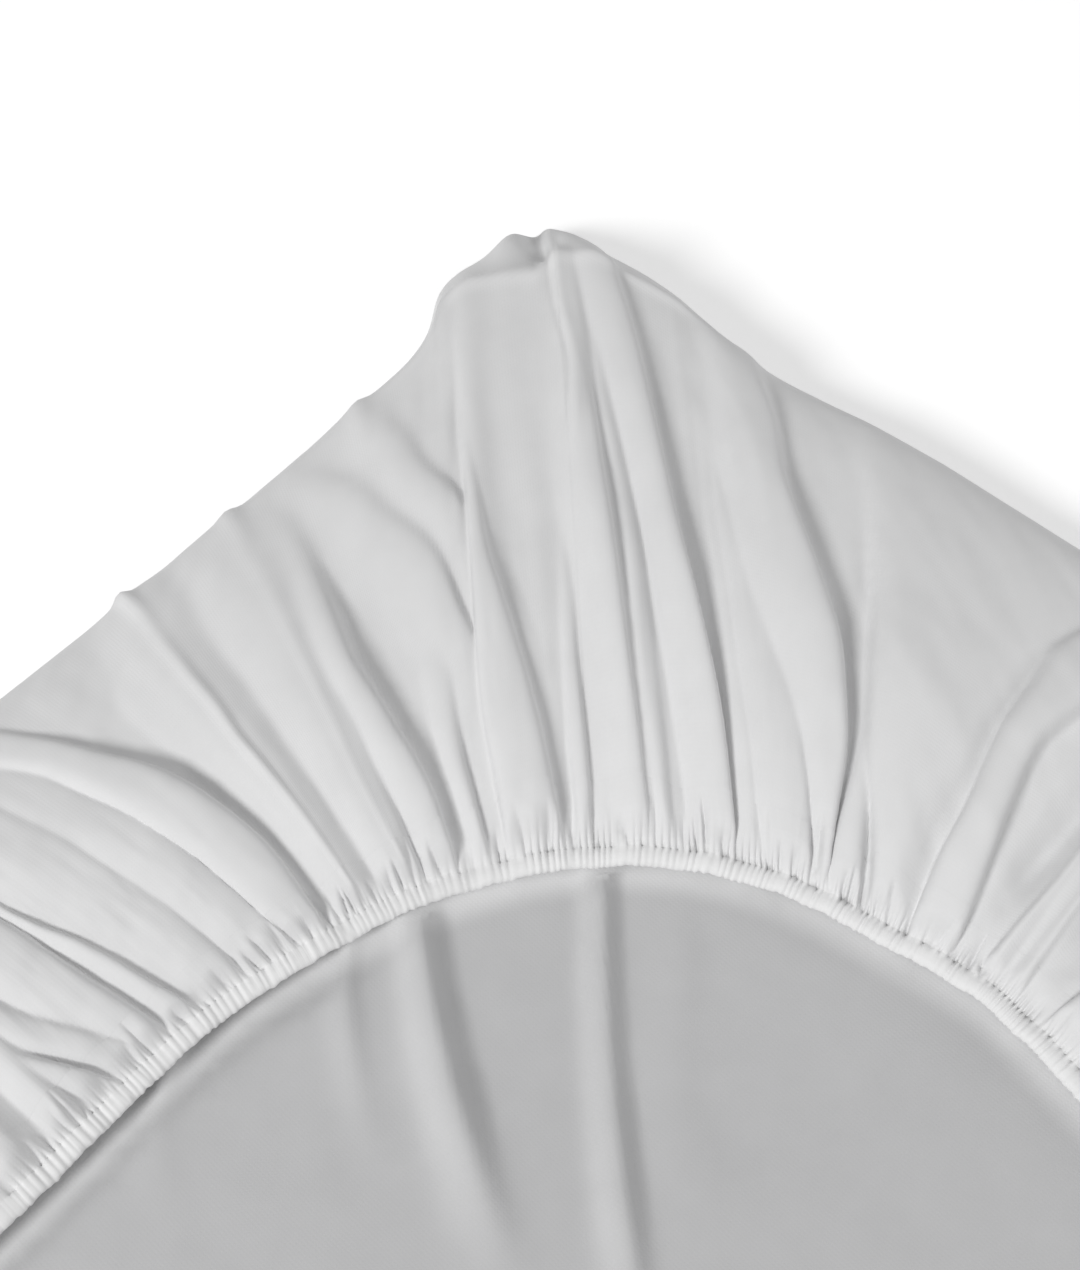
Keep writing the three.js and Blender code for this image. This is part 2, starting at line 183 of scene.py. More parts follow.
LEAN = 0.12                         # how far a crisp side leans out, by its height
FOLD_SHARE = 0.75                   # the folds' heights, of the table's
FEET_STRAY = 0.8                    # how far a fold's feet wander, in mm
TALL_STRAY = 0.08                   # and how much its height varies, as a share
# How softly the folds are rounded, in mm, by the way in: more where the cloth is slack.
SLACK_WAYS, SLACK = (0, 0.2, 0.6, 1), (2.2, 1.2, 0.8, 0.7)
# The folds are tucked in at the hem, and the slits close there: how far in that begins,
# over what part of the way it grows, and the share it takes.
TUCK_FROM, TUCK_OVER, TUCK_SHARE = 0.965, 0.035, 0.85
CLOSE_FROM, CLOSE_OVER, CLOSE_SHARE = 0.985, 0.015, 0.75
NEAR_HEM = 0.93                     # the way in where the finely gathered edge begins
FINE_STEP = 1.05 * MM               # between the cloth's columns where it shows best
COARSE_STEP = 9.5 * MM              # and elsewhere
PAST_MIDDLE = 45 * MM               # how far past the short side's middle it is fine
FINE_CLOTH, FINE_HEM = 0.285, 0.29  # and how far along the long side, cloth and hem
SKIRT_ROWS = 98
TURN_ROWS = 7
GRID = 0.5 * MM                     # the spacing at which fold heights are worked out
MEET = 8 * MM                       # where two corners' folds die out to meet
PLEAT = 3.2 * MM                    # the elastic's pleats
TAKEN_UP = 1.3                      # the cloth from edge to hem, by that way in plan
CUT_TURN = (-0.012, -0.001)         # the turn on the flat cloth, out from the panel's edge
CORNER_CUT = -0.005                 # the place along the hem where the two sides' cloth parts


# ---- Small functions ----------------------------------------------------------
def bell(x, spread):
    """1 at x = 0, falling off as a Gauss curve."""
    return np.exp(-((x / spread) ** 2))


def ease(x):
    """0 up to x = 0, 1 from x = 1, and a smooth step between."""
    x = np.clip(x, 0, 1)
    return x * x * (3 - 2 * x)


def smooth(values, spread):
    """Each row of values blurred with a Gauss curve that is 'spread' samples wide."""
    if spread < 0.3:
        return values
    reach = int(3 * spread) + 1
    kernel = np.exp(-0.5 * (np.arange(-reach, reach + 1) / spread) ** 2)
    kernel /= kernel.sum()
    padded = np.pad(values, ((0, 0), (reach, reach)), mode="edge")
    return np.apply_along_axis(lambda row: np.convolve(row, kernel, "valid"), 1, padded)


def smooth_ring(values, spread):
    """The same for rows that go once round, so that each row's end meets its start."""
    count = values.shape[1]
    return smooth(np.tile(values, 3), spread)[:, count:2 * count]


def noise(x, y, seed):
    """Soft random hills, about -1 to 1: random values on a unit lattice, eased between."""
    lattice = np.random.default_rng(seed).uniform(-1, 1, (64, 64))
    x, y = np.broadcast_arrays(x, y)
    i, j = np.floor(x).astype(int), np.floor(y).astype(int)
    u, v = ease(x - i), ease(y - j)
    value = lambda a, b: lattice[a % 64, b % 64]
    low = value(i, j) * (1 - u) + value(i + 1, j) * u
    high = value(i, j + 1) * (1 - u) + value(i + 1, j + 1) * u
    return low * (1 - v) + high * v


def along(way, keys, values):
    """A value given at a few keys of the way in, as a smooth curve over all of it:
    straight lines between the keys and on past them, blurred."""
    fine = np.linspace(-0.2, 1.2, 281)
    line = np.interp(fine, keys, values)
    first = (values[1] - values[0]) / (keys[1] - keys[0])
    last = (values[-1] - values[-2]) / (keys[-1] - keys[-2])
    line = line + first * np.minimum(fine - keys[0], 0) + last * np.maximum(fine - keys[-1], 0)
    return np.interp(way, fine, smooth(line[None], 7)[0])


# ---- The lines that the cloth follows ------------------------------------------
def outline_stray(edge):
    """How far the outer edge strays outward: the two sides' tables, blurred."""
    fine = np.arange(-HALF_WIDTH - 0.05, HALF_LENGTH + 0.05, 2 * MM)
    stray = np.where(fine < 0, np.interp(-fine / MM, SHORT_AT, SHORT_OUT),
                     np.interp(fine / MM, LONG_AT, LONG_OUT))
    return np.interp(edge, fine, smooth(stray[None], 4)[0] * MM)


def edge_point(edge):
    """The outer edge in the positive quarter: two nearly straight sides joined by a
    hyperbola, each straying outward as its table says."""
    soft = lambda p: (p + np.hypot(p, SOFT_CORNER)) / 2
    stray = outline_stray(edge)
    side = (1 + np.tanh(edge / SOFT_CORNER)) / 2
    near = bell(edge, BOTH_WAYS)
    x = HALF_LENGTH - soft(edge) + stray * ((1 - side) + side * near)
    y = HALF_WIDTH - soft(-edge) + stray * (side + (1 - side) * near)
    return np.stack([x, y], -1)


def drawn_in(hem):
    """How far the elastic is drawn in from its arc, as its table says, blurred."""
    fine = np.arange(-300, 300, 2.0)
    drawn = smooth(np.interp(fine, DRAWN_AT, DRAWN_IN)[None], 8)[0]
    return np.interp(hem / MM, fine, drawn) * MM


def hem_point(hem, inset=0.0):
    """The hem in the same quarter: an arc between two straight runs, drawn in by inset."""
    turn = np.clip(hem, -ARC, ARC) / HEM_RADIUS + math.pi / 4
    radius = HEM_RADIUS - inset - drawn_in(hem)
    x = ARC_X + radius * np.cos(turn) - np.maximum(hem - ARC, 0)
    y = ARC_Y + radius * np.sin(turn) - np.maximum(-ARC - hem, 0)
    return np.stack([x, y], -1)


def hem_level(hem):
    """The elastic's height over the surface."""
    return HEM_HEIGHT + SIDE_LIFT * ease((hem - LIFT_FROM) / LIFT_OVER)


def edge_at(hem):
    """The place on the outer edge that belongs to a place along the hem."""
    fine = np.arange(SHORT_END - 0.05, LONG_END + 0.05, GRID)
    line = np.interp(fine / MM, RUN_HEM, RUN_EDGE) * MM
    line = smooth(line[None], 9 * MM / GRID)[0]
    return np.interp(hem, fine, line)


# ---- The folds --------------------------------------------------------------------
def side_folds(random):
    """The folds of a long side past its corner's: one after another, each with its
    own width, drift and height, the wider ones taller."""
    rows = []
    at = SIDE_START
    while at < LONG_END / MM - LAST_LONG:
        width = random.uniform(*SIDE_WIDTH)
        drift = random.uniform(*SIDE_DRIFT)
        swell = random.uniform(*SIDE_SWELL)
        middle = at + width / 2
        out = (1 - np.array(WAYS)) ** 0.7
        half = width / 2 * (1 + swell * out * 0.6)
        low, high = middle + drift * out - half, middle + drift * out + half
        tall = 5 + 0.33 * width * random.uniform(*SIDE_TALL)
        reach = random.uniform(*SIDE_REACH)
        tall_at = (0.2 * reach * tall, reach * tall, 0.9 * tall, 0.95 * tall)
        crisp = (random.uniform(*SIDE_CRISP), random.uniform(*SIDE_CRISP))
        rows.append(Fold("S", low, high, tall_at, crisp))
        at += width + random.uniform(*SIDE_GAP)
    return rows


def fold_shape(hem, low, high, crisp):
    """A fold's height across, 1 at its crest: a squared cosine on a soft side, a half
    ellipse on a rounder one and a squarer one on a crisp side. Also how far across
    from the crest each place is, -1 at the low foot and 1 at the high one."""
    crest = low + (high - low) * (0.5 + 0.3 * (crisp[1] - crisp[0]))
    across = np.where(hem < crest, (hem - crest) / (crest - low), (hem - crest) / (high - crest))
    far = np.clip(np.abs(across), 0, 1)
    hard = np.where(hem < crest, crisp[0], crisp[1])
    round_share = np.minimum(2 * hard, 1)
    shape = (round_share * np.sqrt(1 - far ** (1.6 + 1.6 * hard))
             + (1 - round_share) * np.cos(far * math.pi / 2) ** 2)
    return shape, np.clip(across, -1, 1) * hard


def fold_fields(hem, way, rows, corner):
    """The folds' height and their sideways lean over a grid of places: at each place
    the highest fold counts. hem: places along the hem; way: how far in, 0 to 1."""
    height = np.zeros((len(way), len(hem)))
    lean = np.zeros_like(height)
    for index, fold in enumerate(rows):
        shift = math.sin(0.9 * index) * corner.stray
        low = along(way, WAYS, fold.low) + shift + FEET_STRAY * noise(way * 8, 3.3 * index, 91)
        high = along(way, WAYS, fold.high) + shift + FEET_STRAY * noise(way * 8, 3.3 * index, 92)
        high = np.maximum(high, low + 1)
        top = np.maximum(along(way, (0, *TALL_WAYS, 1.0), (0, *fold.tall, fold.tall[-1])), 0)
        top *= FOLD_SHARE * corner.lift * (1 + TALL_STRAY * noise(way * 6, 5.1 * index, 93))
        near = (hem > (low.min() - 4) * MM) & (hem < (high.max() + 4) * MM)
        shape, across = fold_shape(hem[None, near] / MM, low[:, None], high[:, None], fold.crisp)
        here = shape * top[:, None] * MM
        bulge = here * across * 2 * LEAN
        wins = here > height[:, near]
        height[:, near] = np.where(wins, here, height[:, near])
        lean[:, near] = np.where(wins, bulge, lean[:, near])
    ends = ease((hem - SHORT_END) / (LAST_SHORT * MM)) * ease((LONG_END - hem) / (LAST_LONG * MM))
    return height * ends, lean * ends


def toe_depth(hem, way, rows):
    """The toes in which the cloth ends at the hem: from slit to slit it bulges up in an
    arc, and each slit deepens from its own beginning down to the hem."""
    depth = np.zeros((len(way), len(hem)))
    place, start, begin, deep = np.array(rows).T
    for i in np.flatnonzero(way > begin.min()):
        line = place + (start - place) * (1 - way[i]) / TOE_RUN
        line = np.maximum.accumulate(line + np.arange(len(line)) * 1e-4)
        grow = deep * ease((way[i] - begin) / (TOE_FULL - begin)) ** 0.8
        k = np.clip(np.searchsorted(line, hem / MM), 1, len(line) - 1)
        across = np.clip((hem / MM - line[k - 1]) / (line[k] - line[k - 1]), 0, 1)
        bulge = np.sin(math.pi * across) ** 0.9
        depth[i] = ((1 - across) * grow[k - 1] + across * grow[k]) * (1 - bulge) * MM
    return depth


def toe_rows(random, with_slits):
    """The slits between the toes along a quarter, as rows of place, start, begin and
    depth: the table's where with_slits, and others between them at uneven steps."""
    rows = []
    for slit in SLITS if with_slits else []:
        run = (slit.start - slit.place) * TOE_RUN / (1 - slit.begin)
        rows.append((slit.place, slit.place + run, slit.begin, SLIT_DEEP))
    at = SHORT_END / MM - 4
    while at < LONG_END / MM + 8:
        at += random.choice(TOE_STEPS) * random.uniform(0.85, 1.2)
        if all(abs(at - row[0]) > TOE_APART for row in rows):
            start = at + random.uniform(-3, 3)
            rows.append((at, start, random.uniform(*TOE_BEGIN), random.uniform(*TOE_DEEP)))
    return sorted(rows)


def quarter_fields(way, corner, seed):
    """Everything that lifts or shifts the skirt of one corner, on an even grid along
    the hem: the folds' height and lean, blurred more where the cloth is slacker, with
    hills of unevenness added and the hollows, the tucked ends and the slits taken off."""
    hem = np.arange(SHORT_END, LONG_END + GRID, GRID)
    random = np.random.default_rng(seed)
    folds, folds_lean = fold_fields(hem, way, FOLDS + side_folds(random), corner)
    height, lean = np.empty_like(folds), np.empty_like(folds_lean)
    for i, spread in enumerate(np.interp(way, SLACK_WAYS, SLACK) * MM / GRID):
        height[i] = smooth(folds[i:i + 1], spread)[0]
        lean[i] = smooth(folds_lean[i:i + 1], spread)[0]
    run = way[:, None]
    fanned = edge_at(hem)[None] * (1 - run) + hem[None] * run
    meet = (ease((hem - SHORT_END) / MEET) * ease((LONG_END - hem) / MEET))[None]
    for index, hills in enumerate(UNEVEN):
        at = (fanned if hills.fans else hem[None]) / (hills.wide * MM) + hills.slant * run
        swell = noise(at, run * hills.rows, seed + 2 + index)
        height += hills.tall * MM * swell * ease(run * hills.grow - hills.late) * meet
    for hollow in HOLLOWS:
        line = hollow.place + (hollow.start - hollow.place) * (1 - run) / (1 - hollow.begin)
        grow = ease((run - hollow.begin) / (hollow.grown - hollow.begin))
        sink = grow * (1 - ease((run - hollow.rise) / (hollow.end - hollow.rise)))
        height -= hollow.deep * MM * bell(hem[None] / MM - line, hollow.spread) * sink
    # At the hem the toes are tucked in steeply, and slits part them.
    tuck = 1 - TUCK_SHARE * ease((run - TUCK_FROM) / TUCK_OVER)
    close = 1 - CLOSE_SHARE * ease((run - CLOSE_FROM) / CLOSE_OVER)
    toes = toe_depth(hem, way, toe_rows(random, with_slits=corner.stray == 0))
    return hem, height * tuck - toes * close * meet, lean * tuck


# ---- The corner -----------------------------------------------------------------------
# The crease that the turned edge makes round a corner: places along the hem, in mm,
# and how far in it lies.
CREASE_AT = (-75, -67, -41, -21, -4, 3, 11, 20, 34, 60)
CREASE_WAY = (0.09, 0.10, 0.12, 0.14, 0.175, 0.185, 0.16, 0.13, 0.11, 0.09)
CREASE_TALL, CREASE_WIDE = 2.2 * MM, 0.014  # its ridge: the height, and its spread of the way
CREASE_ENDS = 20                    # how far it takes to fade at its ends, in mm
CREASE_CURVE, CREASE_BEND = 0.72, 0.04      # how the cloth curves up to it, and its softness
ROUND_CORNER = 0.075                # how far along the hem the cloth bends at it
RISE_WAY = 0.075                    # the way over which it stands up from the turn elsewhere
FALL_LATE, FALL_CURVE = 4.2, 0.9    # how late and how round it falls to the hem
PUSHED_OUT = 0.4                    # how far a fold pushes the turn outward, by its height
OVER_HEM = 1.5 * MM                 # the skirt's end over the elastic's level
# The seam down from the crease: how far in, and the place along the hem in mm.
SEAM_WAY = (0.05, 0.16, 0.26, 0.32, 0.36, 0.44, 0.53, 1.0)
SEAM_AT = (-2, -2, -3, -7, -9, -7, -3, -8)
# The seam's puffed edge and its groove: how high each is, its place beside the seam and
# its spread, in mm. How far in they start and stop, and over what part of the way.
SEAM_EDGE, SEAM_GROOVE = (1.6, -3, 2.6), (-1.2, 0.4, 1.2)
SEAM_STARTS, SEAM_STOPS = (0.12, 0.05), (0.42, 0.12)
# The relief round the seam's end, beside the crease: round bumps, or dents where "tall"
# is below 0, "tall" mm high at "place" mm along the hem, "wide" mm across, and how far
# in each lies and how far it spreads.
Bump = namedtuple("Bump", "tall place wide way spread")
BUMPS = [
    Bump(-7, -1, 4, 0.13, 0.03),        # the sunk end of the seam
    Bump(-3, -7, 2.6, 0.105, 0.025),
    Bump(-5, 1, 3.5, 0.03, 0.06),       # the notch between the two lobes
    Bump(11, 9.5, 4.5, 0.06, 0.06),     # the lobe on the long side
    Bump(1.5, -14, 7, 0.06, 0.06),      # the lobe on the short side
]


def knee(x, soft):
    """x up to 1 and 1 beyond, with a softened bend between."""
    return 1 - soft * np.log1p(np.exp((1 - x) / soft))


def skirt_rise(hem, way):
    """The height of the unfolded skirt over its turn: up steeply from the edge, level,
    and rounded down to the hem; round a corner it bends at a crease."""
    w = way[:, None]
    crease = np.interp(hem / MM, CREASE_AT, CREASE_WAY)[None]
    at_corner = bell(hem, ROUND_CORNER)[None]
    bent = knee((w / crease) ** CREASE_CURVE, CREASE_BEND)
    up = (1 - at_corner) * (1 - np.exp(-w / RISE_WAY)) + at_corner * bent
    down = (1 - w ** FALL_LATE) ** FALL_CURVE
    crown = CROWN + CORNER_CROWN * bell(hem, CORNER_SPREAD)[None]
    return crown * up * down


def corner_detail(hem, way):
    """The small relief of a corner: the crease as a low ridge, the sunk end of the seam
    between two lobes, and the seam's groove."""
    w, at = way[:, None], hem[None] / MM
    crease = np.interp(at, CREASE_AT, CREASE_WAY)
    ends = ease((at - CREASE_AT[0]) / CREASE_ENDS) * ease((CREASE_AT[-1] - at) / CREASE_ENDS)
    detail = CREASE_TALL * bell(w - crease, CREASE_WIDE) * ends
    for bump in BUMPS:
        round_it = bell(at - bump.place, bump.wide) * bell(w - bump.way, bump.spread)
        detail = detail + bump.tall * MM * round_it
    side = at - along(way, SEAM_WAY, SEAM_AT)[:, None]
    starts = ease((w - SEAM_STARTS[0]) / SEAM_STARTS[1])
    fade = starts * (1 - ease((w - SEAM_STOPS[0]) / SEAM_STOPS[1]))
    lines = sum(tall * bell(side - place, spread) for tall, place, spread in (SEAM_EDGE, SEAM_GROOVE))
    return detail + lines * MM * fade


def skirt_points(hem, way, fields):
    """The skirt in the positive quarter: straight in from the outer edge to the hem,
    raised by its rise, its folds and the corner's relief. The folds also push the turn
    outward a little, and lean along the hem."""
    grid, height, lean = fields
    high = np.stack([np.interp(hem, grid, row) for row in height])
    shift = np.stack([np.interp(hem, grid, row) for row in lean])
    start, end = edge_point(edge_at(hem)), hem_point(hem, -BAND)
    w = way[:, None]
    inward = (end - start) / np.linalg.norm(end - start, axis=1)[:, None]
    plan = start[None] + (end - start)[None] * w[..., None]
    ears = sum(ear.out * MM * bell(hem / MM - ear.place, EAR_WIDE) for ear in EARS)[None]
    plan = plan - inward[None] * (PUSHED_OUT * high * (1 - w) ** 6 + 0.5 * ears * bell(w, 0.2))[..., None]
    run = np.gradient(plan, axis=1)
    run = run / np.maximum(np.linalg.norm(run, axis=2, keepdims=True), 1e-9)
    plan = plan + run * shift[..., None]
    z = EDGE_RISE + (hem_level(hem)[None] + OVER_HEM - EDGE_RISE) * w + skirt_rise(hem, way) + high
    z = z + corner_detail(hem, way) + ears * bell(w - 0.08, 0.1)
    return np.concatenate([plan, z[..., None]], 2)


def turn_points(rim, inward):
    """The turn under the outer edge: a quarter of an ellipse from the panel's flat
    edge out and up to the rim."""
    angle = np.linspace(0, math.pi / 2, TURN_ROWS)[:-1, None, None]
    plan = rim[None, :, :2] + inward[None] * EDGE_RISE * (1 - np.sin(angle))
    z = UNDER + (rim[None, :, 2:] - UNDER) * (1 - np.cos(angle))
    return np.concatenate([plan, z], 2)


def columns_of(step_at):
    """Places along a quarter's hem whose spacing follows step_at(place)."""
    axis = np.arange(SHORT_END, LONG_END, GRID)
    count = np.concatenate([[0], np.cumsum(GRID / step_at(axis))])
    want = np.linspace(0, count[-1], int(round(count[-1])) + 1)
    return np.interp(want, count, np.append(axis, LONG_END))


def fine_to(index, first):
    """Where along a corner's hem the fine columns end: at "first" on the first corner,
    a little way past the short side's middle on its neighbour, and nowhere else."""
    return (first, -1, -1, SHORT_END + PAST_MIDDLE)[index]


def cloth_step(index):
    """The spacing of the cloth's columns at one corner: fine where the first corner
    shows, and wide elsewhere, less so where the edge fans out."""
    def step(axis):
        fan = np.gradient(edge_at(axis), axis)
        wide = COARSE_STEP / np.maximum(1, fan / 2.2)
        return np.where(axis < fine_to(index, FINE_CLOTH), FINE_STEP, wide)
    return step


def hem_step(index):
    """The spacing of the gathered edge's columns, in the same way: 9 to a pleat or 3."""
    def step(axis):
        return np.where(axis < fine_to(index, FINE_HEM), PLEAT / 9, PLEAT / 3.2)
    return step


def round_the_hem(way, step_of, turn=False):
    """The skirt's grid once round the protector, rows by columns by 3, and every
    point's place on the flat cloth: along its side and out from the panel. Each corner
    is the first one's shape with its own folds, mirrored to where it lies."""
    parts, flats = [], []
    for index, corner in enumerate(CORNERS):
        hem = columns_of(step_of(index))
        points = skirt_points(hem, way, quarter_fields(way, corner, 20 + 10 * index))
        start, end = edge_point(edge_at(hem)), hem_point(hem, -BAND)
        inward = (end - start) / np.linalg.norm(end - start, axis=1)[:, None]
        out = np.repeat(way[:, None] * REACH * TAKEN_UP, len(hem), 1)
        if turn:
            points = np.concatenate([turn_points(points[0], inward), points])
            turned = np.linspace(*CUT_TURN, TURN_ROWS - 1)[:, None]
            out = np.concatenate([np.repeat(turned, len(hem), 1), out])
        side = np.repeat((hem > CORNER_CUT)[None], len(out), 0)
        run = np.where(side, HALF_LENGTH - edge_at(hem)[None], HALF_WIDTH + edge_at(hem)[None])
        flat = np.where(side[..., None], np.stack([run, HALF_WIDTH + out], -1),
                        np.stack([HALF_LENGTH + out, run], -1)) * np.array([corner.x, corner.y])
        points = points * np.array([corner.x, corner.y, 1.0])
        if corner.x * corner.y < 0:
            points, flat = points[:, ::-1], flat[:, ::-1]
        parts.append(points[:, :-1])
        flats.append(flat[:, :-1])
    return np.concatenate(parts, 1), np.concatenate(flats, 1)


# ---- Meshes -------------------------------------------------------------------
def new_mesh(name, points, faces, flat=None, **values):
    """A mesh object from an array of points and a list of faces, with the flat cloth's
    coordinates as its UV map and the named values of its points as attributes."""
    mesh = bpy.data.meshes.new(name)
    mesh.from_pydata(points.tolist(), [], faces)
    mesh.shade_smooth()
    if flat is not None:
        corner = np.empty(len(mesh.loops), dtype=np.int32)
        mesh.loops.foreach_get("vertex_index", corner)
        layer = mesh.uv_layers.new(name="cloth")
        layer.data.foreach_set("uv", flat[corner].astype(np.float32).ravel())
    for key, value in values.items():
        layer = mesh.attributes.new(key, "FLOAT", "POINT")
        layer.data.foreach_set("value", value.astype(np.float32))
    mesh.update()
    obj = bpy.data.objects.new(name, mesh)
    bpy.context.scene.collection.objects.link(obj)
    return obj


def ring_faces(rows, cols):
    """Quads of a grid that closes on itself along its columns, facing outward."""
    r, c = np.meshgrid(np.arange(rows - 1), np.arange(cols), indexing="ij")
    d = (c + 1) % cols
    quads = np.stack([r * cols + c, r * cols + d, (r + 1) * cols + d, (r + 1) * cols + c], -1)
    return quads.reshape(-1, 4).tolist()


# ---- The panel ------------------------------------------------------------------
# Low creases in the slack panel, in mm: where each starts and ends, the height of its
# crest, the spread of its slack side and the spread of the side that it falls to.
Crease = namedtuple("Crease", "start end tall slack sharp")
CREASES = [
    Crease((664, 220), (563, 66), 12, 11, 8),
    Crease((742, 176), (564, -4), 10, 8, 6.5),
    Crease((632, 232), (560, 140), 4, 7, 6),
    Crease((712, 104), (620, 20), 2, 12, 12),
    Crease((528, 240), (490, 190), 4, 9, 8),
]
# The part of the panel where they lie, its middle and the way they mostly run.
CREASED_LOW, CREASED_HIGH = (0.41, -0.09), (0.82, 0.27)
CREASED_MIDDLE = (0.62, 0.10)
CREASES_RUN = math.radians(51)
CREASE_HIGHLIGHT_SHARE = 0.4                          # how much of the panel's darker tone is taken off along a crease's long side: a painted highlight
# The panel's soft unevenness: how tall its hills are in mm, how wide each way, and a seed.
PANEL_HILLS = [(0.6, 0.05, 0.05, 3), (0.4, 0.02, 0.03, 4)]
WIDE_NET = 30 * MM                  # the panel's points, apart
NET_ALONG, NET_ACROSS = 6.8 * MM, 3 * MM    # and where the creases are
NET_HALF_ALONG, NET_HALF_ACROSS = 0.30, 0.24    # half of that closer net, before it is cut
NET_MARGIN = 0.05                   # how far inside the outline the wide net ends


def within_hem(x, y):
    """The place along the hem next to each spot of the panel, and how far inside the
    hem the spot lies."""
    dx, dy = np.maximum(np.abs(x) - ARC_X, 0), np.maximum(np.abs(y) - ARC_Y, 0)
    hem = (np.arctan2(dy, dx) - math.pi / 4) * HEM_RADIUS
    hem = hem + np.maximum(ARC_X - np.abs(x), 0) - np.maximum(ARC_Y - np.abs(y), 0)
    return hem, HEM_RADIUS - drawn_in(hem) - np.hypot(dx, dy)


def panel_height(x, y):
    """The panel's creases: ridges along straight lines, each with one long and one short side, fading at
    its ends, and soft unevenness all over. Also a painted highlight along the long sides of the creases:
    how much paler the cloth is made there."""
    height = sum(tall * MM * (1 + noise(x / wide, y / long, seed))
                 for tall, wide, long, seed in PANEL_HILLS)
    ridge, painted_light = np.zeros_like(x), np.zeros_like(x)
    tallest = max(crease.tall for crease in CREASES)
    for crease in CREASES:
        start, end = np.array(crease.start) * MM, np.array(crease.end) * MM
        length = np.linalg.norm(end - start)
        d = (end - start) / length
        along_it = (x - start[0]) * d[0] + (y - start[1]) * d[1]
        off = (x - start[0]) * -d[1] + (y - start[1]) * d[0]
        off = off + 4 * MM * np.sin(along_it / length * 4)
        width = np.where(off > 0, crease.sharp, crease.slack) * MM
        width = width * (0.8 + 0.4 * along_it / length)
        ends = ease((along_it + 0.06) / 0.05) * ease((length - along_it) / 0.09)
        ridge = np.maximum(ridge, crease.tall * MM * bell(off, width) * ends)
        # A painted highlight along the crease's long side, stronger on the taller creases.
        crease_highlight = crease.tall / tallest * bell(off / MM + crease.slack, crease.slack)
        painted_light = np.maximum(painted_light, crease_highlight * ends)
    # It lifts a little near the hem, and banks up inside it along a long side.
    hem, inside = within_hem(x, y)
    level = hem_level(hem)
    near = ease((0.03 + inside) / 0.03) * ease((0.11 - inside) / 0.10)
    bank = ease((inside - 4 * MM) / (11 * MM)) * ease((0.07 - inside) / 0.05)
    height = height + ridge + 1.5 * MM * near + 5 * MM * bank * ease((hem - 0.08) / 0.06)
    # Under the hem it stays below the rolled edge.
    most = level - 6.5 * MM + 1.4 * np.maximum(inside - 2 * MM, 0)
    return (height + most - np.hypot(height - most, 1.5 * MM)) / 2, painted_light


def panel_fill(ring):
    """The panel inside the ring of the turn's flat edge: a Delaunay net of the ring's
    points and of even rows of points within it, closer where the creases are and
    running along them there. Gives its points, its faces and which point came from
    which."""
    half_x, half_y = HALF_LENGTH - NET_MARGIN, HALF_WIDTH - NET_MARGIN
    wide = np.meshgrid(np.arange(-half_x, half_x, WIDE_NET), np.arange(-half_y, half_y, WIDE_NET))
    run, off = np.meshgrid(np.arange(-NET_HALF_ALONG, NET_HALF_ALONG, NET_ALONG),
                           np.arange(-NET_HALF_ACROSS, NET_HALF_ACROSS, NET_ACROSS))
    cos, sin = math.cos(CREASES_RUN), math.sin(CREASES_RUN)
    close = [CREASED_MIDDLE[0] + run * cos - off * sin, CREASED_MIDDLE[1] + run * sin + off * cos]
    wide, close = np.stack(wide, -1).reshape(-1, 2), np.stack(close, -1).reshape(-1, 2)

    def creased(spots, margin):
        return ((spots > np.array(CREASED_LOW) - margin)
                & (spots < np.array(CREASED_HIGH) + margin)).all(axis=1)

    spots = np.concatenate([ring[:, :2], wide[~creased(wide, 0.01)], close[creased(close, 0)]])
    edges = [(i, (i + 1) % len(ring)) for i in range(len(ring))]
    points, _, faces, came_from, _, _ = geometry.delaunay_2d_cdt(
        [Vector(p) for p in spots], edges, [list(range(len(ring)))], 1, 1e-6)
    points = np.array([(p[0], p[1]) for p in points])
    return points, faces, came_from


def make_cloth():
    """The one piece of cloth: panel, turn and skirt as one mesh. The ring where turn
    and panel meet is the first row of the skirt's grid, used by both."""
    way = np.linspace(0, 1, SKIRT_ROWS) ** 1.25 * NEAR_HEM
    grid, flat = round_the_hem(way, cloth_step, turn=True)
    rows, cols = grid.shape[:2]
    skirt = grid.reshape(-1, 3)
    spots, faces, came_from = panel_fill(grid[0])
    source = np.array([c[0] if c and c[0] < cols else -1 for c in came_from])
    extra = np.flatnonzero(source < 0)
    place = np.where(source >= 0, source, 0)
    place[extra] = len(skirt) + np.arange(len(extra))
    inner = spots[extra]
    height, painted_light = panel_height(inner[:, 0], inner[:, 1])
    panel = np.column_stack([inner, UNDER + height])
    points = np.concatenate([skirt, panel])
    fill = [[int(place[i]) for i in reversed(face)] for face in faces]
    # The panel's darker tone, partly painted shade, fades out over the turn, and is weaker along a
    # crease's long side, as a painted highlight.
    tone = np.linspace(1, 0, rows) ** 30
    tone[:TURN_ROWS - 1] = np.linspace(1, 0.2, TURN_ROWS - 1)
    tone = np.concatenate([np.repeat(tone, cols), 1 - CREASE_HIGHLIGHT_SHARE * painted_light])
    inside = np.concatenate([np.ones(len(skirt)), within_hem(inner[:, 0], inner[:, 1])[1]])
    return new_mesh("cloth_sheet", points, ring_faces(rows, cols) + fill,
                    np.concatenate([flat.reshape(-1, 2), inner]), tone=tone, inside=inside)


# ---- The gathered edge ---------------------------------------------------------------
ROLL_RADIUS = 5.7 * MM              # the rolled edge round the elastic, across the hem
ROLL_SQUASH = 0.68                  # its height, of its breadth
ROLL_IN = 3.2 * MM                  # its middle, in from the skirt's end
ROLL_DROP = 3.2 * MM                # and down from it
ROLL_ROWS = 9
ROLL_FROM, ROLL_TO = 0.34 * math.pi, 1.7 * math.pi
RING_JOIN = 6 * MM                  # how near the ring's join its unevenness fades out
# How much of the pleats the skirt's last rows show, counted from its end.
PLEATED_ROWS = {-5: 0.1, -4: 0.2, -3: 0.4, -2: 0.7, -1: 1.0}


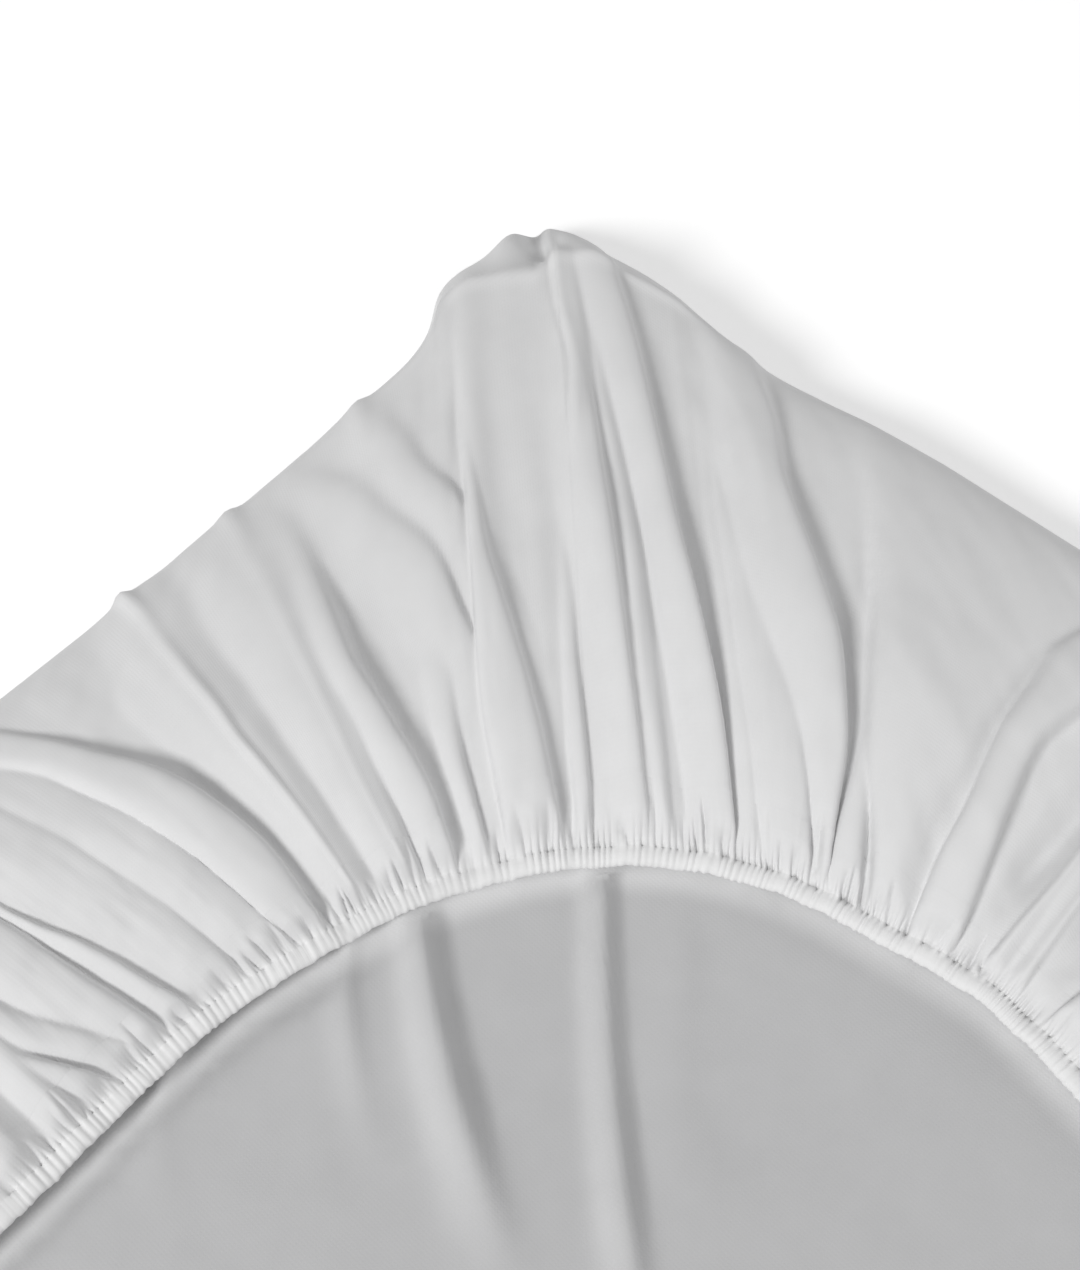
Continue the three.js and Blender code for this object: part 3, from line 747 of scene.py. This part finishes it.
def make_hem():
    """The gathered edge: the last of the skirt in its toes, and the rolled edge round
    the elastic. Its section is a flattened circle, whose radius rises and falls along
    the hem as small uneven pleats, which run a little way up into the skirt."""
    way = np.concatenate([[NEAR_HEM - 0.004], np.linspace(NEAR_HEM + 0.005, 1, 10)])
    grid, flat = round_the_hem(way, hem_step)
    grid[0, :, 2] -= 0.12 * MM
    cols = grid.shape[1]
    last = grid[-1]
    ring = np.roll(last, -1, 0) - last
    length = np.linalg.norm(ring[:, :2], axis=1)
    at = np.cumsum(length)
    # All the unevenness fades out where the ring closes.
    closed = ease(at / RING_JOIN) * ease((at[-1] - at) / RING_JOIN)
    # The pleats' phase runs on at an uneven pace, and their depth is uneven too.
    pace = 1 + closed * (0.30 * noise(at / (7 * MM), 0, 5) + 0.15 * noise(at / (23 * MM), 0, 6))
    phase = np.cumsum(length * pace) / PLEAT
    phase = phase / phase[-1] * round(phase[-1]) * 2 * math.pi
    place, _ = within_hem(last[:, 0], last[:, 1])
    # They are deeper on the short side than on the long one.
    tall = 1 + 0.7 * closed * noise(at / (4 * MM), 0, 7)
    tall = tall * (1 + 0.4 * ease(-place / 0.08) - 0.35 * ease(place / 0.06))
    out = smooth_ring(np.stack([ring[:, 1], -ring[:, 0]]) / length, 11).T
    out /= np.linalg.norm(out, axis=1)[:, None]
    notch = (0.5 - 0.5 * np.cos(phase + 0.7)) ** 2
    rise = 1.2 - 1.5 * notch * tall + 1.1 * closed * noise(at / (5 * MM), 0, 10)
    for row, share in PLEATED_ROWS.items():
        grid[row, :, 2] += rise * MM * share
    # The roll's section runs from the skirt over its top and round under itself.
    angle = np.linspace(ROLL_FROM, ROLL_TO, ROLL_ROWS)[:, None]
    lean = 0.9 * np.cos(angle) + 0.35 * (closed * noise(at / (6 * MM), 0, 8))[None]
    wave = (0.5 + 0.5 * np.cos(phase[None] + lean)) ** 0.8 * tall[None]
    rough = 0.07 * closed[None] * noise(at[None] / (2.2 * MM), angle * 1.6, 9)
    deep = 0.035 + 0.075 * ease((0.85 * math.pi - angle) / (0.45 * math.pi))
    radius = ROLL_RADIUS * (1 + deep * (wave - 0.6) + rough)
    inset = ROLL_IN - radius * np.cos(angle)
    level = 0.8 * smooth_ring(last[None, :, 2], 9)[0] + 0.2 * last[:, 2] - ROLL_DROP
    height = level[None] + ROLL_SQUASH * radius * np.sin(angle)
    rolled = np.concatenate([last[None, :, :2] - out[None] * inset[..., None], height[..., None]], 2)
    points = np.concatenate([grid, rolled])
    flat = np.concatenate([flat, np.repeat(flat[-1:], ROLL_ROWS, 0)])
    tone = np.concatenate([np.zeros(len(grid) - 2), [0.2, 0.5], np.ones(ROLL_ROWS)])
    tone = np.repeat(tone, cols)
    return new_mesh("gathered_hem", points.reshape(-1, 3), ring_faces(len(points), cols),
                    flat.reshape(-1, 2), tone=tone, inside=np.ones(len(tone)))


# ---- Materials --------------------------------------------------------------------
THREAD = 0.85 * MM                  # from one thread to the next
COTTON = (0.75, 0.75, 0.753)        # the skirt's white
PANEL_FACE_AND_SHADE_COTTON = (0.55, 0.55, 0.555)  # the panel, seen from its inner side: that face's greyer tone together with painted shade, darker than the skirt because the flat panel gets less light
HEM_COTTON = (0.82, 0.82, 0.82)     # the rolled edge
RIM_PAINTED_LIGHT = 1.1                     # painted light: the panel close inside the hem made paler against the skirt, lightening the shade under the hem
RIM_FROM, RIM_TO = -2 * MM, 15 * MM


def add(material, kind, settings=None, **inputs):
    """A node of this kind with its settings and its named inputs set; an input that is
    another node's output is linked."""
    node = material.node_tree.nodes.new(kind)
    for key, value in (settings or {}).items():
        setattr(node, key, value)
    for key, value in inputs.items():
        socket = node.inputs[key.replace("_", " ")]
        if isinstance(value, bpy.types.NodeSocket):
            material.node_tree.links.new(value, socket)
        else:
            socket.default_value = value
    return node


def weave(material):
    """The plain weave's height on the flat cloth: two sets of soft waves across each
    other, one for the threads each way, multiplied."""
    spot = add(material, "ShaderNodeUVMap", {"uv_map": "cloth"})
    both = add(material, "ShaderNodeMath", {"operation": "MULTIPLY"})
    for index, turn in enumerate((0, math.pi / 2)):
        place = add(material, "ShaderNodeMapping", Rotation=(0, 0, turn), Vector=spot.outputs["UV"])
        thread = add(material, "ShaderNodeTexWave", Vector=place.outputs["Vector"],
                     Scale=math.pi / 20 / THREAD, Distortion=1.2, Detail=1, Detail_Scale=0.4)
        material.node_tree.links.new(thread.outputs["Fac"], both.inputs[index])
    return both.outputs["Value"]


def cloth_colour(material, colour, panel_shade_and_roll_colour):
    """The skirt's colour, mixed with the other one by the cloth's tone, with a paler one close inside the
    hem as painted light, and made a little uneven by soft blotches."""
    tone = add(material, "ShaderNodeAttribute", {"attribute_name": "tone"})
    inside = add(material, "ShaderNodeAttribute", {"attribute_name": "inside"})
    # The panel's darker tone, partly painted shade, is mixed in by the cloth's tone attribute.
    mixed = add(material, "ShaderNodeMix", {"data_type": "RGBA"}, Factor=tone.outputs["Fac"],
                A=(*colour, 1), B=(*panel_shade_and_roll_colour, 1))
    # Painted light: close inside the hem the panel is made paler, lightening the shade there.
    painted_light = add(material, "ShaderNodeMapRange", {"interpolation_type": "SMOOTHSTEP"},
               Value=inside.outputs["Fac"], From_Min=RIM_FROM, From_Max=RIM_TO, To_Min=0.9, To_Max=0)
    rim = add(material, "ShaderNodeMix", {"data_type": "RGBA"}, Factor=painted_light.outputs["Result"],
              A=mixed.outputs["Result"], B=(*[RIM_PAINTED_LIGHT * c for c in colour], 1))
    place = add(material, "ShaderNodeTexCoord")
    blotch = add(material, "ShaderNodeTexNoise", Vector=place.outputs["Object"], Scale=60, Detail=4)
    shade = add(material, "ShaderNodeMapRange", Value=blotch.outputs["Fac"], To_Min=0.96, To_Max=1.03)
    final = add(material, "ShaderNodeVectorMath", {"operation": "SCALE"},
                Vector=rim.outputs["Result"], Scale=shade.outputs["Result"])
    return final.outputs["Vector"]


def fabric(name, colour, panel_shade_and_roll_colour):
    """A matt plain weave: its threads as bump, and its two tones: on the cloth the skirt's and the
    panel's darker one, which is partly painted shade, and on the hem the skirt's and the rolled edge's
    own.
    """
    material = bpy.data.materials.new(name)
    material.use_nodes = True
    shader = material.node_tree.nodes["Principled BSDF"]
    shader.inputs["Roughness"].default_value = 0.85
    shader.inputs["Sheen Weight"].default_value = 0.12
    shader.inputs["Sheen Roughness"].default_value = 0.5
    shader.inputs["Specular IOR Level"].default_value = 0.25
    relief = add(material, "ShaderNodeBump", Strength=0.5, Distance=0.06 * MM, Height=weave(material))
    links = material.node_tree.links
    links.new(cloth_colour(material, colour, panel_shade_and_roll_colour), shader.inputs["Base Color"])
    links.new(relief.outputs["Normal"], shader.inputs["Normal"])
    return material


# ---- Floor, light and camera --------------------------------------------------------
FLOOR_HALF = 6.0
FLOOR_DROP = 0.4 * MM               # how far the floor lies under the protector
AIM = (0.75, 0.2, 0)                # what the lamps point at
Lamp = namedtuple("Lamp", "name place size power")
LAMPS = [
    Lamp("key", (-3.98, 0.08, 3.69), 1.8, 215),
    Lamp("fill", (4.50, -3.55, 2.82), 2.4, 52),
]
WORLD_LIGHT = 0.405


def stage():
    """A pale floor, lit evenly by the world and softly by two round lamps."""
    corners = np.array([(-1, -1), (1, -1), (1, 1), (-1, 1)]) * FLOOR_HALF
    floor = new_mesh("floor", np.column_stack([corners, np.full(4, -FLOOR_DROP)]), [[0, 1, 2, 3]])
    material = bpy.data.materials.new("pale_floor")
    material.use_nodes = True
    shader = material.node_tree.nodes["Principled BSDF"]
    shader.inputs["Base Color"].default_value = (0.95, 0.95, 0.95, 1)
    shader.inputs["Emission Color"].default_value = (1, 1, 1, 1)
    shader.inputs["Emission Strength"].default_value = 0.28
    shader.inputs["Roughness"].default_value = 0.9
    floor.data.materials.append(material)
    world = bpy.data.worlds.new("studio")
    world.use_nodes = True
    world.node_tree.nodes["Background"].inputs["Color"].default_value = (1, 1, 1, 1)
    world.node_tree.nodes["Background"].inputs["Strength"].default_value = WORLD_LIGHT
    bpy.context.scene.world = world
    for lamp in LAMPS:
        data = bpy.data.lights.new(lamp.name, "AREA")
        data.shape = "DISK"
        data.size = lamp.size
        data.energy = lamp.power
        light = bpy.data.objects.new(lamp.name, data)
        light.location = lamp.place
        toward = Vector(AIM) - Vector(lamp.place)
        light.rotation_euler = toward.to_track_quat("-Z", "Y").to_euler()
        bpy.context.scene.collection.objects.link(light)


def make_camera():
    """Over the middle of the panel, looking down at the corner at +X, +Y."""
    heading, down, roll = math.radians(46.1), math.radians(57.6), math.radians(-1.7)
    data = bpy.data.cameras.new("camera")
    data.sensor_width = 36
    data.lens = 52.1
    camera = bpy.data.objects.new("camera", data)
    camera.location = (0.455, -0.065, 0.778)
    look = Vector((math.sin(heading) * math.cos(down), math.cos(heading) * math.cos(down),
                   -math.sin(down)))
    turn = look.to_track_quat("-Z", "Y") @ Quaternion((0, 0, 1), roll)
    camera.rotation_euler = turn.to_euler()
    bpy.context.scene.collection.objects.link(camera)
    bpy.context.scene.camera = camera


# ---- The protector -----------------------------------------------------------------
make_camera()
stage()
cloth = make_cloth()
hem = make_hem()
cloth.data.materials.append(fabric("woven_cotton", COTTON, PANEL_FACE_AND_SHADE_COTTON))
hem.data.materials.append(fabric("gathered_cotton", COTTON, HEM_COTTON))
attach(cloth, "root")
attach(hem, "root")
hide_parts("cloth")
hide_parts("elastic_hem")

bpy.context.scene.view_settings.view_transform = "Standard"
